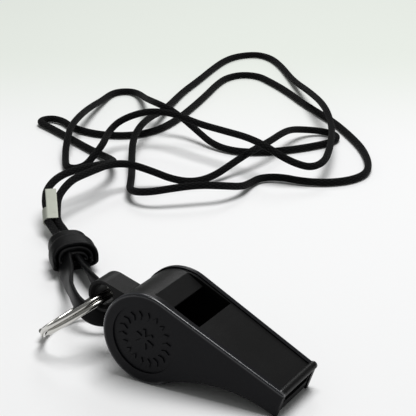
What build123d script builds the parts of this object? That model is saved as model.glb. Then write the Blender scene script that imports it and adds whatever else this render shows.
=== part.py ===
"""A plastic pea whistle on a black lanyard, as separate solids in one frame.

Millimetres, +Z up.  The origin is the point on which the drum rests, under the
middle of the drum's axis; +X points to the mouthpiece, and the axis lies along Y.
"""

from build123d import *
from math import cos, hypot, pi, radians, sin, sqrt, tan
import os

os.makedirs("parts", exist_ok=True)

# ---- driving dimensions ----
DRUM_RADIUS = 11.5
DRUM_CENTRE = (0.0, DRUM_RADIUS)            # X, Z
TIP_TOP = (36.31, 6.32)                     # upper edge of the mouthpiece's end
TIP_BOTTOM = (34.11, 0.0)                   # lower edge, which rests on the ground
ARCH_TOP = (19.0, 3.9)                      # highest point of the arched underside
ARCH_START_X = 4.4                          # where the underside leaves the drum
TOP_SLOPE = 26.4                            # degrees down towards the mouth

BODY_HALF = 9.75                            # half width over the side plates at the drum
TIP_HALF = 8.55                             # half width at the mouthpiece's end
TAPER_START_X = 4.0
PLATE = 1.6                                 # thickness of a side plate
PLATE_EDGE = 0.5                            # rounding of a side plate's outer rim
RIM_PROUD = 0.35                            # how far the plates stand above the barrel
WALL = 1.25                                 # thickness of the barrel's wall

WINDOW_BACK_X = 6.0                         # the blade, on the drum's side of the window
WINDOW_FRONT_X = 13.7
WINDOW_HALF = 7.4
RAMP_TOP_X = 1.8                            # where the ramp to the blade begins
BLADE = 0.3                                 # thickness left at the blade's edge
WINDWAY_BACK = 1.4                          # height of the air passage at the window
WINDWAY_FRONT = 2.6                         # and at the mouth
MOUTH_HALF = 6.2
NOSE_X = 13.0                               # the block's nose, just in front of the window
NOSE_FOOT = (9.3, 8.0)
FIT = 0.05                                  # clearance of the block round the pea's path

LIP_RADIUS = 1.0                            # bead across the end of the mouthpiece
LIP_CENTRE = (35.35, 6.1)
LIP_HALF = 8.4

LUG_CENTRE = (-15.8, 16.4)                  # X, Z
LUG_RADIUS = 4.05
LUG_HALF = 3.3
LUG_HOLE = 2.7                              # radius
LUG_FALL = 18.0                             # degrees, the lug's top down to the drum
LUG_ROOT_X = -0.6 * DRUM_RADIUS             # inside the drum, where the web is cut off
LUG_BEVEL = 0.7

PEA_RADIUS = 4.6
PEA_GAP = 0.15                              # the pea's clearance to the drum's inside

MEDAL_RADIUS = 8.6
MEDAL_DEPTH = 0.4
MEDAL_RELIEF = 0.3
LOZENGES = 18
LOZENGE_RING = 6.05
LOZENGE_SIZE = (2.3, 1.15)                  # along the radius, across it
STAR_BARS = 3
STAR_BAR = (5.2, 0.8)

RING_RADIUS = 11.9                          # to the middle of the wire
RING_WIRE = 1.2                             # diameter
RING_PITCH = 1.25                           # from one turn to the next
RING_TILT = 37.0                            # degrees from level
RING_HANG = 10.0                            # degrees, how far round the ring is turned
RING_AT_LUG = (-16.15, 0.0, 15.65)
RING_JOG = 40.0                             # degrees, where the wire steps across
RING_END = 35.0                             # degrees, the cut end of the upper turn

CORD = 2.4                                  # diameter of the lanyard's cord

FERRULE_FOOT = (-72.0, 53.0, 4.5)
FERRULE_AXIS = (-0.58, 0.739, 0.35)
FERRULE_LENGTH = 13.0
FERRULE_OUTSIDE = (5.9, 3.3)
FERRULE_WALL = 0.35
FERRULE_CUTS = ((-1, 5.0), (1, 0.0))        # side, and the height from which it is open
FERRULE_CUT_DEPTH = 1.3

STRAP = (1.5, 5.0)                          # thickness, width on edge
STRAP_CORNER = 0.3
KNOT_CENTRE = (-57.0, 40.0, 4.6)
KNOT_SIZE = (10.0, 12.0, 8.4)               # along the strap, across it, high
KNOT_EDGE = 2.6
KNOT_HEADING = (-0.72, 0.69, 0.0)           # from the strap to the ferrule

SAME_PLACE = 0.01                           # closer than this counts as the same place
FACES_OUT = 0.9                             # cosine above which a face looks outwards

BEND_SHARE = 0.45                           # share of a run that its corner's arc takes

# The strap from the knot, over the ring's wire, through the ring and back under it.
STRAP_ROUTE = [
    (-56.2, 36.5, 4.5), (-50.0, 28.4, 4.8), (-42.0, 19.0, 5.7), (-34.5, 10.0, 7.4),
    (-29.5, 6.0, 6.6), (-25.0, 5.5, 5.0), (-21.5, 8.0, 4.5), (-22.0, 12.5, 4.0),
    (-27.0, 17.5, 3.5), (-37.0, 24.5, 3.3), (-46.0, 32.0, 3.8), (-53.5, 39.4, 4.5),
]

# The cord: out of the knot and through the ferrule, round the whole neck loop, and
# back through the ferrule to its other end in the knot.
CORD_ROUTE = [
    (-58.4, 39.6, 4.5), (-61.9, 42.9, 4.3), (-68.3, 48.9, 3.7), (-73.02, 52.2, 4.5),
    (-75.3, 55.1, 5.9), (-78.7, 58.5, 7.8), (-82.3, 64.5, 9.4), (-83.5, 72.5, 10.6),
    (-82.0, 80.5, 10.6), (-81.0, 90.0, 9.2), (-82.5, 100.0, 6.4), (-87.5, 109.0, 3.5),
    (-96.5, 116.0, 1.55), (-106.5, 120.5, 1.35), (-117.0, 125.7, 1.35),
    (-127.0, 130.4, 1.4), (-133.6, 133.3, 1.5), (-137.4, 134.9, 1.5), (-138.5, 137.4, 1.5),
    (-137.7, 139.9, 1.5), (-135.3, 141.3, 1.5), (-130.7, 140.4, 1.5), (-126.0, 137.4, 1.5),
    (-119.0, 135.0, 1.35), (-109.5, 135.0, 1.35), (-100.5, 139.5, 1.35),
    (-96.0, 148.5, 1.35), (-96.0, 161.0, 1.35), (-98.5, 176.0, 1.35), (-102.5, 195.0, 1.35),
    (-106.5, 211.0, 1.35), (-107.5, 220.5, 1.35), (-104.5, 227.5, 1.35),
    (-97.5, 229.0, 1.35), (-90.0, 224.5, 1.35), (-78.0, 216.0, 1.35), (-62.5, 202.5, 1.35),
    (-46.0, 190.5, 1.35), (-34.5, 179.5, 1.35), (-24.0, 168.0, 1.35), (-16.5, 156.5, 1.35),
    (-12.5, 146.5, 1.35), (-13.5, 138.5, 1.35), (-18.5, 132.0, 1.35), (-26.5, 128.0, 1.45),
    (-35.0, 127.5, 1.7), (-40.5, 124.0, 1.55), (-41.0, 117.5, 1.55), (-39.5, 109.5, 3.3),
    (-42.0, 101.5, 5.75), (-47.5, 96.5, 6.6), (-53.5, 91.0, 6.2), (-58.8, 86.8, 5.35),
    (-64.2, 86.4, 4.35), (-69.0, 89.6, 3.3), (-73.0, 96.6, 2.8), (-78.0, 105.0, 2.7),
    (-84.0, 114.0, 3.5), (-90.5, 125.0, 6.4), (-94.5, 136.5, 7.4), (-97.5, 148.5, 6.7),
    (-102.5, 162.0, 3.5), (-107.5, 176.5, 1.8), (-112.5, 194.0, 1.35),
    (-115.5, 212.0, 1.35), (-119.0, 229.0, 1.35), (-121.0, 243.0, 1.35),
    (-119.5, 252.0, 1.35), (-113.5, 258.0, 1.35), (-105.5, 255.5, 1.35),
    (-96.0, 246.5, 1.35), (-81.6, 228.8, 1.7), (-61.5, 203.8, 6.2), (-46.7, 184.5, 8.8),
    (-38.1, 172.3, 7.2), (-31.3, 158.5, 7.0), (-26.5, 146.3, 6.8), (-23.2, 135.8, 6.4),
    (-24.5, 128.7, 6.4), (-29.5, 127.3, 7.4), (-33.6, 125.1, 9.8), (-39.5, 125.8, 12.0),
    (-48.3, 129.6, 12.4), (-58.5, 132.1, 12.2), (-70.5, 134.5, 12.2), (-82.1, 138.1, 13.0),
    (-90.4, 135.8, 13.1), (-94.7, 131.7, 12.1), (-98.2, 128.0, 10.2), (-99.2, 124.3, 8.2),
    (-97.1, 118.3, 7.6), (-94.0, 112.0, 7.5), (-93.9, 105.7, 4.8), (-94.9, 102.8, 2.6),
    (-97.2, 100.2, 1.8), (-101.0, 100.3, 1.6), (-104.6, 104.8, 1.9), (-108.5, 110.5, 3.7),
    (-110.5, 114.6, 5.75), (-114.5, 122.0, 7.2), (-119.5, 134.0, 6.8),
    (-126.5, 151.0, 4.55), (-132.5, 168.0, 1.9), (-135.3, 177.6, 1.35),
    (-134.3, 182.4, 1.35), (-130.6, 184.9, 1.35), (-125.6, 183.0, 1.7),
    (-118.9, 176.2, 3.1), (-109.4, 164.1, 6.9), (-99.4, 152.8, 10.4), (-93.4, 148.9, 11.0),
    (-89.9, 149.6, 9.6), (-86.1, 150.4, 7.2), (-79.5, 148.5, 4.55), (-70.0, 144.5, 1.6),
    (-60.5, 143.0, 1.35), (-52.0, 147.0, 1.35), (-44.5, 154.5, 1.35), (-38.5, 163.5, 1.35),
    (-35.5, 170.5, 1.35), (-37.5, 176.5, 1.35), (-44.0, 177.5, 1.55), (-49.0, 172.0, 2.9),
    (-49.5, 163.0, 5.35), (-48.0, 153.0, 7.0), (-47.5, 143.0, 7.0), (-48.5, 133.0, 6.8),
    (-51.0, 124.5, 4.55), (-53.5, 116.0, 2.1), (-57.0, 109.5, 1.55), (-62.5, 105.5, 2.7),
    (-68.5, 101.5, 5.95), (-74.0, 97.0, 8.8), (-77.0, 90.5, 10.0), (-77.0, 82.5, 10.6),
    (-77.5, 75.0, 10.8), (-77.8, 71.0, 10.6), (-77.3, 66.0, 9.6), (-76.3, 61.5, 8.1),
    (-73.3, 56.9, 6.0), (-71.0, 53.8, 4.5), (-66.5, 51.0, 3.7), (-60.0, 44.8, 4.3),
    (-56.6, 41.4, 4.5),
]


# ---- shared shapes ----
def side_outline(inset):
    """The whistle seen from the side, drawn in by the inset, as a face in XZ."""
    slope = radians(TOP_SLOPE)
    tangent = (DRUM_RADIUS * sin(slope), DRUM_RADIUS * (1 + cos(slope)))
    arch_start = (ARCH_START_X, DRUM_RADIUS - sqrt(DRUM_RADIUS ** 2 - ARCH_START_X ** 2))
    with BuildSketch(Plane.XZ) as sketch:
        with BuildLine():
            Line(tangent, TIP_TOP)
            Line(TIP_TOP, TIP_BOTTOM)
            ThreePointArc(TIP_BOTTOM, ARCH_TOP, arch_start)
            ThreePointArc(arch_start, (-DRUM_RADIUS, DRUM_RADIUS), tangent)
        make_face()
        if inset:
            offset(amount=-inset, kind=Kind.INTERSECTION)
    return sketch.sketch


def side_solid(inset):
    """The side outline as a block much wider than the whistle."""
    return extrude(side_outline(inset), amount=2 * BODY_HALF, both=True)


def plan_band(outer_drop, near_side):
    """The tapered width of the whistle in plan, as a tall block.

    outer_drop draws the faces in; near_side picks one plate (-1 or 1) or both (0).
    """
    start = -3 * DRUM_RADIUS
    end = 2 * TIP_TOP[0]
    slope = (BODY_HALF - TIP_HALF) / (TIP_TOP[0] - TAPER_START_X)
    half_drum = BODY_HALF - outer_drop
    half_end = half_drum - slope * (end - TAPER_START_X)
    edge = [(start, half_drum), (TAPER_START_X, half_drum), (end, half_end)]
    if near_side:
        inner = [(x, y - PLATE) for x, y in edge]
        corners = [(x, near_side * y) for x, y in edge + inner[::-1]]
    else:
        corners = edge + [(x, -y) for x, y in reversed(edge)]
    face = make_face(Polyline(*corners, close=True))
    return extrude(face, amount=4 * DRUM_RADIUS, both=True)


def across(radius, centre, half):
    """A cylinder along Y with its middle at the given X and Z."""
    middle = Plane(origin=(centre[0], 0, centre[1]), z_dir=(0, 1, 0))
    return middle * Cylinder(radius, 2 * half)


def prism(points, half):
    """A polygon in XZ, as wide as twice the half width."""
    face = make_face(Plane.XZ * Polyline(*points, close=True))
    return extrude(face, amount=half, both=True)


def below_top(x, depth):
    """A point at this X, so far under the sloping top line and square to it."""
    slope = radians(TOP_SLOPE)
    height = TIP_TOP[1] + (TIP_TOP[0] - x) * tan(slope) - depth / cos(slope)
    return (x, height)


def bend_radii(route):
    """For each corner, the arc that takes a fixed share of the shorter run."""
    points = [Vector(*point) for point in route]
    radii = []
    for before, corner, after in zip(points, points[1:], points[2:]):
        first, second = corner - before, after - corner
        shorter = min(first.length, second.length)
        half_turn = radians(first.get_angle(second) / 2)
        radii.append(BEND_SHARE * shorter / tan(half_turn))
    return radii


# ---- the whistle's body ----
def make_lug():
    """The rounded lug at the back of the drum, with the ring's hole through it."""
    x, z = LUG_CENTRE
    fall = radians(LUG_FALL)
    crest = (x + LUG_RADIUS * sin(fall), z + LUG_RADIUS * cos(fall))
    web = [crest, (LUG_ROOT_X, crest[1] - (LUG_ROOT_X - crest[0]) * tan(fall)),
           (LUG_ROOT_X, z - LUG_RADIUS), (x, z - LUG_RADIUS), LUG_CENTRE]
    lug = across(LUG_RADIUS, LUG_CENTRE, LUG_HALF) + prism(web, LUG_HALF)
    lug -= across(LUG_HOLE, LUG_CENTRE, 2 * LUG_HALF)
    for side in (-1, 1):
        face = Plane(origin=(x, side * (LUG_HALF - LUG_BEVEL), z), z_dir=(0, side, 0))
        lug -= face * Cone(LUG_HOLE, LUG_HOLE + LUG_BEVEL, LUG_BEVEL,
                           align=(Align.CENTER, Align.CENTER, Align.MIN))
    return lug


def make_barrel():
    """The one-piece wall round the drum and the mouthpiece, with lug and lip bead."""
    inside = RIM_PROUD + WALL
    between = plan_band(PLATE, 0)
    shell = (side_solid(RIM_PROUD) & between) + make_lug()
    shell += across(LIP_RADIUS, LIP_CENTRE, LIP_HALF)
    shell -= side_solid(inside)

    ramp_top = DRUM_RADIUS + sqrt((DRUM_RADIUS - RIM_PROUD) ** 2 - RAMP_TOP_X ** 2)
    blade_foot = below_top(WINDOW_BACK_X, inside)
    window = [(RAMP_TOP_X, ramp_top), (WINDOW_BACK_X, blade_foot[1] + BLADE),
              (WINDOW_BACK_X, blade_foot[1] - WALL),
              below_top(WINDOW_FRONT_X, inside + WALL),
              (WINDOW_FRONT_X, 2 * DRUM_RADIUS), (RAMP_TOP_X, 2 * DRUM_RADIUS)]
    shell -= prism(window, WINDOW_HALF)

    wall_x = TIP_TOP[0] - 2 * inside
    mouth = [below_top(wall_x, inside), below_top(2 * TIP_TOP[0], inside),
             below_top(2 * TIP_TOP[0], inside + WINDWAY_FRONT),
             below_top(wall_x, inside + WINDWAY_FRONT)]
    return shell - prism(mouth, MOUTH_HALF)


def make_block():
    """The block in the mouthpiece: its sloping top is the floor of the air passage."""
    inside = RIM_PROUD + WALL
    block = side_solid(inside) & plan_band(PLATE, 0)
    block -= across(DRUM_RADIUS - inside + FIT, DRUM_CENTRE, 2 * BODY_HALF)
    air = [below_top(-TIP_TOP[0], 0), below_top(2 * TIP_TOP[0], 0),
           below_top(2 * TIP_TOP[0], inside + 2 * WINDWAY_FRONT - WINDWAY_BACK),
           below_top(TIP_TOP[0], inside + WINDWAY_FRONT),
           below_top(NOSE_X, inside + WINDWAY_BACK), NOSE_FOOT,
           (0, NOSE_FOOT[1])]
    return block - prism(air, 2 * BODY_HALF)


def medal_relief(side):
    """The raised ornament: a ring of lozenges round a three-bar star."""
    floor = side * (BODY_HALF - MEDAL_DEPTH)
    disc = Plane(origin=(DRUM_CENTRE[0], floor, DRUM_CENTRE[1]),
                 x_dir=(1, 0, 0), z_dir=(0, side, 0))
    long, wide = LOZENGE_SIZE
    marks = Sketch()
    for spot in PolarLocations(LOZENGE_RING, LOZENGES):
        lozenge = Polyline((-long / 2, 0), (0, wide / 2), (long / 2, 0),
                           (0, -wide / 2), close=True)
        marks += spot * make_face(lozenge)
    for number in range(STAR_BARS):
        marks += Rot(0, 0, 180 * number / STAR_BARS + 90) * Rectangle(*STAR_BAR)
    return extrude(disc * marks, amount=MEDAL_RELIEF)


def on_taper_line(edge):
    """True for the crease where a side plate's outer face begins to taper."""
    return all(abs(vertex.X - TAPER_START_X) < SAME_PLACE for vertex in edge.vertices())


def make_side_plate(side):
    """One flat side of the whistle, with its rounded rim and sunk medallion."""
    plate = side_solid(0) & plan_band(0, side)
    outer = plate.faces().filter_by(lambda face: side * face.normal_at().Y > FACES_OUT)
    edges = [edge for face in outer for edge in face.edges()]
    rim = [edge for edge in edges if not on_taper_line(edge)]
    plate = fillet(rim, PLATE_EDGE)
    sunk = Plane(origin=(DRUM_CENTRE[0], side * (BODY_HALF - MEDAL_DEPTH), DRUM_CENTRE[1]),
                 z_dir=(0, side, 0))
    plate -= sunk * Cylinder(MEDAL_RADIUS, PLATE,
                             align=(Align.CENTER, Align.CENTER, Align.MIN))
    plate -= across(LIP_RADIUS, LIP_CENTRE, LIP_HALF)
    return plate + medal_relief(side)


def make_pea():
    """The cork ball, at rest on the bottom of the drum."""
    orbit = DRUM_RADIUS - RIM_PROUD - WALL - PEA_RADIUS - PEA_GAP
    return Pos(0, 0, DRUM_RADIUS - orbit) * Sphere(PEA_RADIUS)


# ---- the ring ----
def ring_plane():
    """The plane of the ring: X down the slope, Y along the drum's axis."""
    tilt = radians(RING_TILT)
    hang = radians(RING_HANG)
    down = Vector(-cos(tilt), 0, -sin(tilt))
    normal = Vector(-sin(tilt), 0, cos(tilt))
    to_lug = down * -cos(hang) - Vector(0, 1, 0) * sin(hang)
    return Plane(origin=Vector(*RING_AT_LUG) - to_lug * RING_RADIUS,
                 x_dir=down, z_dir=normal)


def make_ring():
    """A split ring: two flat turns of round wire, joined by a short step across."""
    half = RING_PITCH / 2
    jog_start = RING_END
    jog_end = RING_END + RING_JOG

    def at(angle, height, radius=RING_RADIUS):
        return Vector(radius * cos(radians(angle)), radius * sin(radians(angle)), height)

    def heading(angle):
        return Vector(-sin(radians(angle)), cos(radians(angle)), 0)

    middle = at((jog_start + jog_end) / 2, 0, hypot(RING_RADIUS, half))
    chord = (middle - at(jog_start, -half)).normalized()
    across_jog = chord * (2 * heading(jog_start).dot(chord)) - heading(jog_start)
    opposite = (jog_start + jog_end) / 2 + 180
    lower = ThreePointArc(at(jog_end, -half), at(opposite, -half), at(jog_start, -half))
    first = TangentArc(at(jog_start, -half), middle, tangent=heading(jog_start))
    second = TangentArc(middle, at(jog_end, half), tangent=across_jog)
    upper = ThreePointArc(at(jog_end, half), at(opposite, half), at(jog_start, half))
    path = Wire([lower, first, second, upper])
    wire = Plane(origin=path @ 0, z_dir=path % 0) * Circle(RING_WIRE / 2)
    return ring_plane() * sweep(wire, path=path)


# ---- the lanyard ----
def make_strap(cord):
    """The flat strap through the ring, with the knot that holds the cord's two ends."""
    path = FilletPolyline(*STRAP_ROUTE, radius=bend_radii(STRAP_ROUTE))
    start = path @ 0
    profile = Plane(origin=start, x_dir=(path % 0).cross(Vector(0, 0, 1)),
                    z_dir=path % 0) * RectangleRounded(*STRAP, STRAP_CORNER)
    upright = Pos(0, 0, 2 * STRAP[1]) * path
    ribbon = sweep(profile, path=path, binormal=upright)
    knot = Box(*KNOT_SIZE)
    knot = fillet(knot.edges(), KNOT_EDGE)
    knot = Plane(origin=KNOT_CENTRE, x_dir=KNOT_HEADING, z_dir=(0, 0, 1)) * knot
    return ribbon + knot - cord


def make_ferrule():
    """A strip of metal folded round the two strands, open where they spread."""
    axis = Vector(*FERRULE_AXIS)
    across_pair = axis.cross(Vector(0, 0, 1))
    foot = Plane(origin=FERRULE_FOOT, x_dir=across_pair, z_dir=axis)
    wide, high = FERRULE_OUTSIDE
    band = SlotOverall(wide, high)
    band -= SlotOverall(wide - 2 * FERRULE_WALL, high - 2 * FERRULE_WALL)
    ferrule = extrude(band, amount=FERRULE_LENGTH)
    for side, height in FERRULE_CUTS:
        cut = Box(2 * FERRULE_CUT_DEPTH, 2 * high, FERRULE_LENGTH,
                  align=(Align.CENTER, Align.CENTER, Align.MIN))
        ferrule -= Pos(side * wide / 2, 0, height) * cut
    return foot * ferrule


def make_cord():
    """The cord as a round tube along its whole route."""
    radii = bend_radii(CORD_ROUTE)
    path = FilletPolyline(*CORD_ROUTE, radius=radii)
    section = Plane(origin=path @ 0, z_dir=path % 0) * Circle(CORD / 2)
    cord = sweep(section, path=path)
    share = cord.volume / (pi * CORD ** 2 / 4 * path.length)
    print("cord: length", round(path.length, 1), "volume against section x length",
          round(share, 4))
    print("cord: bend radii", [round(radius, 1) for radius in radii])
    return cord


def main():
    cord = make_cord()
    parts = {
        "barrel_shell": make_barrel(),
        "side_plate_left": make_side_plate(-1),
        "side_plate_right": make_side_plate(1),
        "windway_block": make_block(),
        "pea": make_pea(),
        "split_ring": make_ring(),
        "strap_loop": make_strap(cord),
        "ferrule": make_ferrule(),
        "neck_cord": cord,
    }
    for name, part in parts.items():
        solids = part.solids()
        export_step(solids[0] if len(solids) == 1 else part, f"parts/{name}.step")
        box = part.bounding_box()
        print(name, len(solids), "solid(s)", round(part.volume, 1), "mm3",
              [round(value, 1) for value in (*box.min, *box.max)])


main()
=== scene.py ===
"""A plastic pea whistle lying on a pale table, with its ring, strap and black lanyard.

Metres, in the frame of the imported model: the drum rests at the origin, +X points to
the mouthpiece, and the drum's axis lies along Y.
"""

import math

import bpy
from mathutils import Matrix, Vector


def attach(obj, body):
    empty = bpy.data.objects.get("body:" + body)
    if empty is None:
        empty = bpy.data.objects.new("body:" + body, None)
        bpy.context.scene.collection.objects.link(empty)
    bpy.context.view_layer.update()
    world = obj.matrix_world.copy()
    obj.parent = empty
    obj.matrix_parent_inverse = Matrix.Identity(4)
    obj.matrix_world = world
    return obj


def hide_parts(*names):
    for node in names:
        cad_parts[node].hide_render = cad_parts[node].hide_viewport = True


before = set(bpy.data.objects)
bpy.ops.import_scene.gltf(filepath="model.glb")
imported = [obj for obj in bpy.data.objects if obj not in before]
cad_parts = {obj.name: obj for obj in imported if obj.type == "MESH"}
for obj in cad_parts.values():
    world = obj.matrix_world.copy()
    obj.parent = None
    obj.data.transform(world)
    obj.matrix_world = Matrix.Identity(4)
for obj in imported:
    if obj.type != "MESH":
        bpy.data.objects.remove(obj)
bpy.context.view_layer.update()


# ---- The camera ----
# A long lens close to the table looks down over the mouthpiece's near side, so that
# the whistle stands large in front and the lanyard runs away behind it.
camera_place = Vector((0.159865, -0.255174, 0.160094))
camera_target = Vector((0.000439, 0.019455, 0.034700))

camera_data = bpy.data.cameras.new("table_camera")
camera_data.lens = 121.15
camera_data.sensor_width = 36
camera_data.clip_start = 0.01
camera_data.clip_end = 10
camera = bpy.data.objects.new("table_camera", camera_data)
camera.location = camera_place
camera.rotation_euler = (camera_target - camera_place).to_track_quat("-Z", "Y").to_euler()
bpy.context.scene.collection.objects.link(camera)
bpy.context.scene.camera = camera


# ---- The lanyard's cord ----
# One soft black polyester cord, braided over a core and 2.4 mm thick.  It leaves the
# knot through the metal ferrule, makes the whole neck loop where it fell, and comes
# back through the ferrule to end in the knot beside its start.
cord_diameter = 0.0024
cord_sides = 14
cord_steps = 18
cord_route = [
    (-0.0584, 0.0396, 0.0045), (-0.0619, 0.0429, 0.0043), (-0.0683, 0.0489, 0.0037),
    (-0.07302, 0.0522, 0.0045), (-0.0753, 0.0551, 0.0059), (-0.0787, 0.0585, 0.0078),
    (-0.0823, 0.0645, 0.0094), (-0.0835, 0.0725, 0.0106), (-0.0820, 0.0805, 0.0106),
    (-0.0810, 0.0900, 0.0092), (-0.0825, 0.1000, 0.0064), (-0.0875, 0.1090, 0.0035),
    (-0.0965, 0.1160, 0.00155), (-0.1065, 0.1205, 0.00135), (-0.1170, 0.1257, 0.00135),
    (-0.1270, 0.1304, 0.0014), (-0.1336, 0.1333, 0.0015), (-0.1374, 0.1349, 0.0015),
    (-0.1385, 0.1374, 0.0015), (-0.1377, 0.1399, 0.0015), (-0.1353, 0.1413, 0.0015),
    (-0.1307, 0.1404, 0.0015), (-0.1260, 0.1374, 0.0015), (-0.1190, 0.1350, 0.00135),
    (-0.1095, 0.1350, 0.00135), (-0.1005, 0.1395, 0.00135), (-0.0960, 0.1485, 0.00135),
    (-0.0960, 0.1610, 0.00135), (-0.0985, 0.1760, 0.00135), (-0.1025, 0.1950, 0.00135),
    (-0.1065, 0.2110, 0.00135), (-0.1075, 0.2205, 0.00135), (-0.1045, 0.2275, 0.00135),
    (-0.0975, 0.2290, 0.00135), (-0.0900, 0.2245, 0.00135), (-0.0780, 0.2160, 0.00135),
    (-0.0625, 0.2025, 0.00135), (-0.0460, 0.1905, 0.00135), (-0.0345, 0.1795, 0.00135),
    (-0.0240, 0.1680, 0.00135), (-0.0165, 0.1565, 0.00135), (-0.0125, 0.1465, 0.00135),
    (-0.0135, 0.1385, 0.00135), (-0.0185, 0.1320, 0.00135), (-0.0265, 0.1280, 0.00145),
    (-0.0350, 0.1275, 0.0017), (-0.0405, 0.1240, 0.00155), (-0.0410, 0.1175, 0.00155),
    (-0.0395, 0.1095, 0.0033), (-0.0420, 0.1015, 0.00575), (-0.0475, 0.0965, 0.0066),
    (-0.0535, 0.0910, 0.0062), (-0.0588, 0.0868, 0.00535), (-0.0642, 0.0864, 0.00435),
    (-0.0690, 0.0896, 0.0033), (-0.0730, 0.0966, 0.0028), (-0.0780, 0.1050, 0.0027),
    (-0.0840, 0.1140, 0.0035), (-0.0905, 0.1250, 0.0064), (-0.0945, 0.1365, 0.0074),
    (-0.0975, 0.1485, 0.0067), (-0.1025, 0.1620, 0.0035), (-0.1075, 0.1765, 0.0018),
    (-0.1125, 0.1940, 0.00135), (-0.1155, 0.2120, 0.00135), (-0.1190, 0.2290, 0.00135),
    (-0.1210, 0.2430, 0.00135), (-0.1195, 0.2520, 0.00135), (-0.1135, 0.2580, 0.00135),
    (-0.1055, 0.2555, 0.00135), (-0.0960, 0.2465, 0.00135), (-0.0816, 0.2288, 0.0017),
    (-0.0615, 0.2038, 0.0062), (-0.0467, 0.1845, 0.0088), (-0.0381, 0.1723, 0.0072),
    (-0.0313, 0.1585, 0.0070), (-0.0265, 0.1463, 0.0068), (-0.0232, 0.1358, 0.0064),
    (-0.0245, 0.1287, 0.0064), (-0.0295, 0.1273, 0.0074), (-0.0336, 0.1251, 0.0098),
    (-0.0395, 0.1258, 0.0120), (-0.0483, 0.1296, 0.0124), (-0.0585, 0.1321, 0.0122),
    (-0.0705, 0.1345, 0.0122), (-0.0821, 0.1381, 0.0130), (-0.0904, 0.1358, 0.0131),
    (-0.0947, 0.1317, 0.0121), (-0.0982, 0.1280, 0.0102), (-0.0992, 0.1243, 0.0082),
    (-0.0971, 0.1183, 0.0076), (-0.0940, 0.1120, 0.0075), (-0.0939, 0.1057, 0.0048),
    (-0.0949, 0.1028, 0.0026), (-0.0972, 0.1002, 0.0018), (-0.1010, 0.1003, 0.0016),
    (-0.1046, 0.1048, 0.0019), (-0.1085, 0.1105, 0.0037), (-0.1105, 0.1146, 0.00575),
    (-0.1145, 0.1220, 0.0072), (-0.1195, 0.1340, 0.0068), (-0.1265, 0.1510, 0.00455),
    (-0.1325, 0.1680, 0.0019), (-0.1353, 0.1776, 0.00135), (-0.1343, 0.1824, 0.00135),
    (-0.1306, 0.1849, 0.00135), (-0.1256, 0.1830, 0.0017), (-0.1189, 0.1762, 0.0031),
    (-0.1094, 0.1641, 0.0069), (-0.0994, 0.1528, 0.0104), (-0.0934, 0.1489, 0.0110),
    (-0.0899, 0.1496, 0.0096), (-0.0861, 0.1504, 0.0072), (-0.0795, 0.1485, 0.00455),
    (-0.0700, 0.1445, 0.0016), (-0.0605, 0.1430, 0.00135), (-0.0520, 0.1470, 0.00135),
    (-0.0445, 0.1545, 0.00135), (-0.0385, 0.1635, 0.00135), (-0.0355, 0.1705, 0.00135),
    (-0.0375, 0.1765, 0.00135), (-0.0440, 0.1775, 0.00155), (-0.0490, 0.1720, 0.0029),
    (-0.0495, 0.1630, 0.00535), (-0.0480, 0.1530, 0.0070), (-0.0475, 0.1430, 0.0070),
    (-0.0485, 0.1330, 0.0068), (-0.0510, 0.1245, 0.00455), (-0.0535, 0.1160, 0.0021),
    (-0.0570, 0.1095, 0.00155), (-0.0625, 0.1055, 0.0027), (-0.0685, 0.1015, 0.00595),
    (-0.0740, 0.0970, 0.0088), (-0.0770, 0.0905, 0.0100), (-0.0770, 0.0825, 0.0106),
    (-0.0775, 0.0750, 0.0108), (-0.0778, 0.0710, 0.0106), (-0.0773, 0.0660, 0.0096),
    (-0.0763, 0.0615, 0.0081), (-0.0733, 0.0569, 0.0060), (-0.0710, 0.0538, 0.0045),
    (-0.0665, 0.0510, 0.0037), (-0.0600, 0.0448, 0.0043), (-0.0566, 0.0414, 0.0045),
]


def line_along(route, steps):
    """Points of the smooth line that has the route as its control points."""
    curve = bpy.data.curves.new("line", "CURVE")
    curve.dimensions = "3D"
    spline = curve.splines.new("NURBS")
    spline.points.add(len(route) - 1)
    for point, place in zip(spline.points, route):
        point.co = (*place, 1)
    spline.order_u = 3
    spline.use_endpoint_u = True
    spline.resolution_u = steps
    holder = bpy.data.objects.new("line", curve)
    mesh = bpy.data.meshes.new_from_object(holder)
    points = [vertex.co.copy() for vertex in mesh.vertices]
    bpy.data.objects.remove(holder)
    bpy.data.meshes.remove(mesh)
    return points


def carried_frames(points, first_side):
    """A side direction for each point, carried along the line without twist."""
    side = first_side
    frames = []
    for index, point in enumerate(points):
        before = points[max(index - 1, 0)]
        after = points[min(index + 1, len(points) - 1)]
        ahead = (after - before).normalized()
        side = (side - ahead * side.dot(ahead)).normalized()
        frames.append((point, ahead, side))
    return frames


def new_piece(name, vertices, faces):
    """A smooth mesh object at the origin."""
    mesh = bpy.data.meshes.new(name)
    mesh.from_pydata(vertices, [], faces)
    mesh.update()
    mesh.shade_smooth()
    piece = bpy.data.objects.new(name, mesh)
    bpy.context.scene.collection.objects.link(piece)
    return piece


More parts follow.
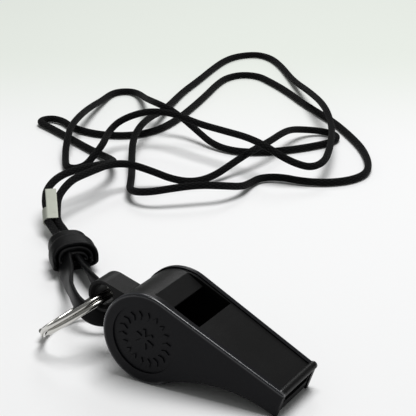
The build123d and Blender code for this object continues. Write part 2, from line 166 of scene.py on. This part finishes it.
def sleeve(name, rings, length_unit):
    """A skin through rings of points, closed at both ends, with a UV map.

    U goes once round the rings, and V is the length along them in length_unit.
    """
    count = len(rings[0])
    vertices = [point for ring in rings for point in ring]
    faces = []
    uvs = []
    along = 0.0
    for number, (ring, following) in enumerate(zip(rings, rings[1:])):
        step = (sum(following, Vector()) - sum(ring, Vector())).length / count
        low, high = along / length_unit, (along + step) / length_unit
        along += step
        for side in range(count):
            other = (side + 1) % count
            start = number * count
            faces.append((start + side, start + other,
                          start + count + other, start + count + side))
            left, right = side / count, (side + 1) / count
            uvs += [(left, low), (right, low), (right, high), (left, high)]
    faces.append(tuple(range(count))[::-1])
    faces.append(tuple(range(len(vertices) - count, len(vertices))))
    uvs += [(0.5, 0)] * (2 * count)
    piece = new_piece(name, vertices, faces)
    layer = piece.data.uv_layers.new(name="length")
    for corner, uv in zip(layer.data, uvs):
        corner.uv = uv
    return piece


def round_ring(point, ahead, side, radius, sides):
    """A circle of points round a line."""
    up = ahead.cross(side)
    turns = [2 * math.pi * number / sides for number in range(sides)]
    return [point + (side * math.cos(turn) + up * math.sin(turn)) * radius for turn in turns]


class Signal:
    """A socket in a material, on which plain arithmetic adds the Math nodes."""

    def __init__(self, finish, socket):
        self.finish = finish
        self.socket = socket

    def math(self, operation, *others):
        inputs = dict(enumerate((self, *others)))
        return self.finish.node("Math", {"operation": operation}, inputs)

    def __add__(self, other):
        return self.math("ADD", other)

    def __sub__(self, other):
        return self.math("SUBTRACT", other)

    def __rsub__(self, other):
        return self.finish.node("Math", {"operation": "SUBTRACT"}, {0: other, 1: self})

    def __mul__(self, other):
        return self.math("MULTIPLY", other)

    __radd__ = __add__
    __rmul__ = __mul__

    def sine(self):
        return self.math("SINE")

    def size(self):
        return self.math("ABSOLUTE")

    def ramp(self, low, high):
        """0 below low, 1 above high, and smooth between them; low may be the larger."""
        settings = {"interpolation_type": "SMOOTHSTEP", "clamp": True}
        return self.finish.node("MapRange", settings, {0: self, 1: low, 2: high})


class Finish:
    """One material, whose nodes are added by kind, with settings first."""

    def __init__(self, name, **constants):
        self.material = bpy.data.materials.new(name)
        self.material.use_nodes = True
        self.tree = self.material.node_tree
        self.shader = self.tree.nodes["Principled BSDF"]
        for socket, value in constants.items():
            self.shader.inputs[socket.replace("_", " ")].default_value = value

    def feed(self, socket, value):
        if isinstance(value, Signal):
            self.tree.links.new(value.socket, socket)
        else:
            socket.default_value = value

    def node(self, kind, settings=None, sockets=None, output=0):
        made = self.tree.nodes.new("ShaderNode" + kind)
        for key, value in (settings or {}).items():
            setattr(made, key, value)
        for key, value in (sockets or {}).items():
            self.feed(made.inputs[key], value)
        return Signal(self, made.outputs[output])

    def place(self):
        """Object coordinates, in metres."""
        return self.node("TexCoord", output=3)

    def axes(self, vector):
        """The three numbers of a vector."""
        split = self.tree.nodes.new("ShaderNodeSeparateXYZ")
        self.feed(split.inputs[0], vector)
        return [Signal(self, socket) for socket in split.outputs]

    def noise(self, vector, grains_per_metre, detail=3.0, roughness=0.55):
        """Cloudy noise from 0 to 1."""
        sockets = {"Vector": vector, "Scale": grains_per_metre,
                   "Detail": detail, "Roughness": roughness}
        return self.node("TexNoise", {}, sockets)

    def blend(self, share, first, second):
        """The first colour where share is 0 and the second where it is 1."""
        settings = {"data_type": "RGBA"}
        return self.node("Mix", settings, {0: share, 6: first, 7: second}, output=2)

    def surface(self, colour, roughness, height, depth, metal=None, coat=None):
        """Feeds the shader; height runs from 0 to 1 over a relief of that depth."""
        for socket, value in (("Base Color", colour), ("Roughness", roughness),
                              ("Metallic", metal), ("Coat Weight", coat)):
            if value is not None:
                self.feed(self.shader.inputs[socket], value)
        sockets = {"Strength": 1.0, "Distance": depth, "Height": height}
        self.feed(self.shader.inputs["Normal"], self.node("Bump", {}, sockets))
        return self.material


def braid_finish():
    """Black yarn in a braid of eight pairs: rows of small slanting stitches."""
    stitch_pairs = 8
    fibres_along, fibres_across = 6, 2
    fuzz_grains, wear_grains = 2600, 45
    relief_depth = 0.00022
    yarn_groove_painted_shade = (0.0010, 0.0010, 0.0012, 1)
    yarn_light = (0.0075, 0.0075, 0.0080, 1)
    finish = Finish("cord_braid_black", Specular_IOR_Level=0.08, Sheen_Weight=0.02,
                    Sheen_Roughness=0.5)
    around, along, _ = finish.axes(finish.node("TexCoord", output=2))
    leaning = (around * stitch_pairs + along) * math.pi
    crossing = (around * stitch_pairs - along) * math.pi
    stitches = leaning.sine().size() * crossing.sine().size()
    fibres = (leaning * fibres_along + crossing * fibres_across).sine().size()
    fuzz = finish.noise(finish.place(), fuzz_grains, detail=2.0)
    wear = finish.noise(finish.place(), wear_grains)
    relief = stitches * 0.8 + fibres * 0.1 + fuzz * 0.15
    # Painted shade: the grooves between stitches are darker than the crowns; where the wear
    # noise is high the crowns are lighter still, as rubbed yarn.
    colour = finish.blend(stitches * (wear * 0.9 + 0.35), yarn_groove_painted_shade, yarn_light)
    return finish.surface(colour, 0.9 - stitches * 0.2, relief, relief_depth)


stitch_length = 0.0021
cord_line = line_along(cord_route, cord_steps)
cord_frames = carried_frames(cord_line, Vector((0, 0, 1)))
cord_rings = [round_ring(*at, cord_diameter / 2, cord_sides) for at in cord_frames]
cord = sleeve("lanyard_cord", cord_rings, stitch_length)
cord.data.materials.append(braid_finish())


# ---- The strap and its knot ----
# A flat band of smooth black vinyl, 5 mm wide and on edge, goes through the ring and
# back.  Its two legs pass under turns of the same band, which wrap the cord's two ends.
strap_width = 0.0050
strap_thickness = 0.0015
strap_steps = 12
strap_route = [
    (-0.0562, 0.0365, 0.0045), (-0.0500, 0.0284, 0.0048), (-0.0420, 0.0190, 0.0057),
    (-0.0345, 0.0100, 0.0074), (-0.0295, 0.0060, 0.0066), (-0.0250, 0.0055, 0.0050),
    (-0.0215, 0.0080, 0.0045), (-0.0220, 0.0125, 0.0040), (-0.0270, 0.0175, 0.0035),
    (-0.0370, 0.0245, 0.0033), (-0.0460, 0.0320, 0.0038), (-0.0535, 0.0394, 0.0045),
]
knot_middle = Vector((-0.0570, 0.0400, 0.0046))
knot_ahead = Vector((-0.72, 0.69, 0)).normalized()
knot_side = Vector((0.69, 0.72, 0)).normalized()
upward = Vector((0, 0, 1))


def band_ring(middle, wide, thick, width, thickness):
    """One cross-section of the band: a flat oblong with round corners and faint welts."""
    ring = []
    sides = 24
    edge_roundness, face_flatness = 0.55, 0.30
    hollow = 0.16
    for number in range(sides):
        turn = 2 * math.pi * number / sides
        across, through = math.cos(turn), math.sin(turn)
        flat = math.copysign(abs(across) ** edge_roundness, across) * width / 2
        deep = math.copysign(abs(through) ** face_flatness, through) * thickness / 2
        welt = 1 - hollow * math.cos(2 * math.pi * flat / width) ** 2
        ring.append(middle + wide * flat + thick * deep * welt)
    return ring


def vinyl_finish():
    """Extruded vinyl: smooth and a little glossy, with drawn lines and rubbed edges."""
    vinyl_black = (0.0014, 0.0014, 0.0017, 1)
    vinyl_rubbed = (0.0085, 0.0085, 0.0092, 1)
    lines_round = 60
    scuff_grains, patch_grains = 900, 160
    relief_depth = 0.00004
    finish = Finish("strap_vinyl_black", Specular_IOR_Level=0.08)
    around, _, _ = finish.axes(finish.node("TexCoord", output=2))
    drawn = (around * (lines_round * math.pi)).sine().size()
    scuffs = finish.noise(finish.place(), scuff_grains, detail=4.0)
    patches = finish.noise(finish.place(), patch_grains)
    edge = (around * (2 * math.pi) * 2).math("COSINE").ramp(0.6, 1.0)
    worn = edge * scuffs.ramp(0.42, 0.75) + patches.ramp(0.62, 0.8) * 0.2
    colour = finish.blend(worn, vinyl_black, vinyl_rubbed)
    roughness = 0.34 + patches * 0.22 + worn * 0.2
    return finish.surface(colour, roughness, scuffs * 0.7 + drawn * 0.3, relief_depth)


vinyl = vinyl_finish()
strap_line = line_along(strap_route, strap_steps)

# Each leg stands on edge at the ring and tips over towards the other leg as it nears the
# knot, by leg_lean radians in the end.
leg_lean = 0.75
lean_starts_x, lean_full_x = -0.037, -0.047
strap_rings = []
for number, (point, ahead, _) in enumerate(carried_frames(strap_line, upward)):
    share = min(max((point.x - lean_starts_x) / (lean_full_x - lean_starts_x), 0), 1)
    inward = knot_side if number < len(strap_line) / 2 else -knot_side
    lean = upward * math.cos(leg_lean * share) + inward * math.sin(leg_lean * share)
    wide = (lean - ahead * lean.dot(ahead)).normalized()
    strap_rings.append(band_ring(point, wide, wide.cross(ahead), strap_width, strap_thickness))
strap = sleeve("strap_band", strap_rings, strap_width)
strap.data.materials.append(vinyl)


def knot_turn(name, ahead_shift, half_width, half_height, band_width, sag):
    """A closed turn of the band round the legs, sagging towards the ring at its sides."""
    count = 64
    squareness = 0.75
    lopsided = 0.3
    side_lean = 0.35
    side_spread = 0.18
    rings = []
    for number in range(count + 1):
        turn = 2 * math.pi * number / count
        across, rise = math.cos(turn), math.sin(turn)
        reach = math.copysign(abs(across) ** squareness, across) * half_width
        height = math.copysign(abs(rise) ** squareness, rise) * half_height
        shift = ahead_shift - sag * across ** 2 + sag * lopsided * across
        middle = knot_middle + knot_side * reach + upward * height + knot_ahead * shift
        outward = (knot_side * across / half_width + upward * rise / half_height).normalized()
        lean = (knot_ahead - knot_side * (side_lean * across)).normalized()
        wide = (lean - outward * lean.dot(outward)).normalized()
        width = band_width * (1 + side_spread * across ** 2)
        rings.append(band_ring(middle, wide, outward, width, strap_thickness))
    turn_piece = sleeve(name, rings, strap_width)
    turn_piece.data.materials.append(vinyl)
    return turn_piece


front_turn = knot_turn("knot_front_turn", ahead_shift=-0.0040, half_width=0.0060,
                       half_height=0.0036, band_width=0.0070, sag=0.0030)
back_turn = knot_turn("knot_back_turn", ahead_shift=0.0008, half_width=0.0050,
                      half_height=0.0032, band_width=0.0052, sag=0.0012)
middle_turn = knot_turn("knot_middle_turn", ahead_shift=-0.0052, half_width=0.0044,
                        half_height=0.0024, band_width=0.0058, sag=0.0026)
inner_turn = knot_turn("knot_inner_turn", ahead_shift=-0.0060, half_width=0.0028,
                       half_height=0.0011, band_width=0.0058, sag=0.0018)
knot_turns = [front_turn, back_turn, middle_turn, inner_turn]


# ---- The split ring ----
# Two turns of round spring-steel wire, nickel plated, sprung together side by side.
# It hangs through the whistle's lug and leans down to the table.
def plated_finish():
    """Bright nickel with fine hairline scratches round the wire."""
    nickel = (0.62, 0.61, 0.58, 1)
    nickel_dull = (0.50, 0.49, 0.47, 1)
    scratch_grains, patch_grains = 5200, 260
    scratch_depth = 0.000006
    finish = Finish("ring_nickel", Metallic=1.0)
    place = finish.place()
    scratches = finish.noise(place, scratch_grains, detail=5.0, roughness=0.7)
    patches = finish.noise(place, patch_grains)
    worn = patches.ramp(0.5, 0.8) * scratches.ramp(0.4, 0.7)
    colour = finish.blend(worn, nickel, nickel_dull)
    return finish.surface(colour, 0.16 + worn * 0.25, scratches, scratch_depth)


def clothe(node, material):
    """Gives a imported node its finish."""
    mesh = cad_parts[node].data
    mesh.materials.clear()
    mesh.materials.append(material)


clothe("split_ring", plated_finish())


# ---- The ferrule ----
# A strip of soft aluminium folded round the cord's two strands and pressed tight.  One
# side is open all the way, and the other is cut away at its top, where the strands spread.
def crimp_finish():
    """Tumbled aluminium: pale and even, with press marks and small dents."""
    metal_pale = (0.36, 0.375, 0.325, 1)
    metal_dark = (0.26, 0.27, 0.23, 1)
    mark_grains, metal_grains = 420, 6000
    dent_depth = 0.00005
    finish = Finish("ferrule_aluminium")
    place = finish.place()
    marks = finish.noise(place, mark_grains, detail=4.0)
    grain = finish.noise(place, metal_grains, detail=2.0)
    worn = marks.ramp(0.55, 0.8)
    colour = finish.blend(worn * 0.6, metal_pale, metal_dark)
    roughness = 0.42 + grain * 0.15
    relief = marks * 0.7 + grain * 0.3
    return finish.surface(colour, roughness, relief, dent_depth, metal=0.55)


clothe("ferrule", crimp_finish())


# ---- The whistle's body ----
# Injection-moulded black plastic.  The barrel with its lug is one moulding with a fine
# spark-eroded texture; the two side plates are smoother and are glued over its edges.
drum_radius = 0.0115
half_width = 0.00975
top_slope = math.radians(26.4)
taper_start = 0.0040
taper = 0.0375

# The rim is the narrow band of each plate's outer corner, round the drum and up along
# the sloping top.  It is rubbed smooth and catches the light.
rim_band = 0.0009
rim_edge = 0.0001
drum_ends_x, top_starts_x = 0.004, 0.006


def moulded_finish(name, black, rubbed, gloss, texture_grains, texture_depth):
    """Moulded plastic: eroded texture, faint flow clouds, dust, and polished edges."""
    cloud_grains, scuff_grains = 110, 1500
    finish = Finish(name, Specular_IOR_Level=gloss, Coat_Roughness=0.16, Coat_IOR=1.75,
                    Coat_Tint=(0.86, 0.88, 1.0, 1))
    place = finish.place()
    x, y, z = finish.axes(place)
    texture = finish.noise(place, texture_grains, detail=3.0, roughness=0.6)
    clouds = finish.noise(place, cloud_grains, detail=2.0)
    scuffs = finish.noise(place, scuff_grains, detail=5.0, roughness=0.7)
    drawn_in = (x - taper_start).math("MAXIMUM", 0.0) * taper
    outer = (y.size() + drawn_in).ramp(half_width - rim_band, half_width - rim_edge)
    from_axis = (x * x + (z - drum_radius) * (z - drum_radius)).math("SQRT")
    from_top = x * math.sin(top_slope) + (z - drum_radius) * math.cos(top_slope) - drum_radius
    near_drum = (from_axis - drum_radius).size().ramp(rim_band, rim_edge)
    near_top = from_top.size().ramp(rim_band, rim_edge)
    on_drum = near_drum * x.ramp(top_starts_x, drum_ends_x)
    on_top = near_top * x.ramp(drum_ends_x, top_starts_x)
    rim = outer * (on_drum + on_top)
    rubbed_places = rim * scuffs.ramp(0.40, 0.72)
    dust = scuffs.ramp(0.70, 0.78) * 0.25
    worn = rubbed_places * 0.8 + dust + clouds * 0.15
    colour = finish.blend(worn, black, rubbed)
    roughness = 0.30 + texture * 0.18 + clouds * 0.10 - rubbed_places * 0.10
    relief = texture * 0.8 + scuffs * 0.2
    return finish.surface(colour, roughness, relief, texture_depth, coat=rim)


barrel_finish = moulded_finish(
    "barrel_plastic_black", black=(0.0030, 0.0030, 0.0031, 1),
    rubbed=(0.018, 0.018, 0.019, 1), gloss=0.13, texture_grains=3600,
    texture_depth=0.00005)
plate_finish = moulded_finish(
    "plate_plastic_black", black=(0.0030, 0.0030, 0.0042, 1),
    rubbed=(0.020, 0.020, 0.025, 1), gloss=0.13, texture_grains=2400,
    texture_depth=0.00002)
block_finish = moulded_finish(
    "block_plastic_black", black=(0.0040, 0.0040, 0.0042, 1),
    rubbed=(0.015, 0.015, 0.016, 1), gloss=0.20, texture_grains=2400,
    texture_depth=0.00003)
clothe("barrel_shell", barrel_finish)
clothe("side_plate_left", plate_finish)
clothe("side_plate_right", plate_finish)
clothe("windway_block", block_finish)


# ---- The pea ----
# A ball turned from natural cork, loose in the drum.
def cork_finish():
    """Cork: warm brown cells with dark pores and short streaks."""
    cork_light = (0.48, 0.30, 0.16, 1)
    cork_dark = (0.12, 0.06, 0.03, 1)
    cell_grains, pore_grains = 900.0, 700
    pore_depth = 0.00015
    finish = Finish("pea_cork", Specular_IOR_Level=0.2)
    place = finish.place()
    cell_sockets = {"Vector": place, "Scale": cell_grains}
    cells = finish.node("TexVoronoi", {"feature": "F1"}, cell_sockets)
    pores = finish.noise(place, pore_grains, detail=4.0)
    dark = pores.ramp(0.52, 0.66) * 0.8 + cells * 0.3
    colour = finish.blend(dark, cork_light, cork_dark)
    return finish.surface(colour, 0.85 + cells * 0.1, 1 - dark, pore_depth)


clothe("pea", cork_finish())


# ---- The table ----
# A sheet of pale matt paper, with painted shade that turns it a little greener and darker far
# behind the whistle.
table_half = 1.5
view_slant = 0.58


def paper_finish():
    """Matt paper with painted shade that darkens it with distance from the whistle."""
    paper_near = (0.90, 0.90, 0.905, 1)
    # Painted shade: the far colour is the same paper where less light reaches it.
    paper_far_painted_shade = (0.78, 0.815, 0.765, 1)
    shade_starts, shade_full = 0.17, 0.34
    fibre_grains = 700
    fibre_depth = 0.00003
    finish = Finish("table_paper", Specular_IOR_Level=0.1)
    place = finish.place()
    x, y, _ = finish.axes(place)
    away = y - x * view_slant
    fibres = finish.noise(place, fibre_grains, detail=4.0)
    colour = finish.blend(away.ramp(shade_starts, shade_full), paper_near, paper_far_painted_shade)
    return finish.surface(colour, 0.8 + fibres * 0.1, fibres, fibre_depth)


table = new_piece("table_top", [(-table_half, -table_half, 0), (table_half, -table_half, 0),
                                (table_half, table_half, 0), (-table_half, table_half, 0)],
                  [(0, 1, 2, 3)])
table.data.materials.append(paper_finish())


# ---- The light ----
# A soft box above, which draws the bright line along the whistle's rims, a smaller one
# far behind, and pale walls all round.
def soft_box(name, place, target, size, power):
    """A square area light that faces its target."""
    data = bpy.data.lights.new(name, "AREA")
    data.size = size
    data.energy = power
    lamp = bpy.data.objects.new(name, data)
    lamp.location = place
    lamp.rotation_euler = (Vector(target) - Vector(place)).to_track_quat("-Z", "Y").to_euler()
    bpy.context.scene.collection.objects.link(lamp)


soft_box("ceiling_box", place=(0.05, 0.15, 0.9), target=(0, 0.05, 0), size=0.5, power=6.9)
soft_box("back_box", place=(-0.35, 0.75, 0.55), target=(0, 0, 0), size=0.3, power=1.2)

room = bpy.data.worlds.new("pale_room")
room.use_nodes = True
room.node_tree.nodes["Background"].inputs["Color"].default_value = (0.93, 0.95, 0.93, 1)
room.node_tree.nodes["Background"].inputs["Strength"].default_value = 0.21
bpy.context.scene.world = room
bpy.context.scene.view_settings.view_transform = "Standard"


# ---- The frame ----
# The lanyard and its knot lie still with the whistle; the ring and the pea turn.
for piece in [cord, strap] + knot_turns:
    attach(piece, "whistle")
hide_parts("neck_cord")
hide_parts("strap_loop")
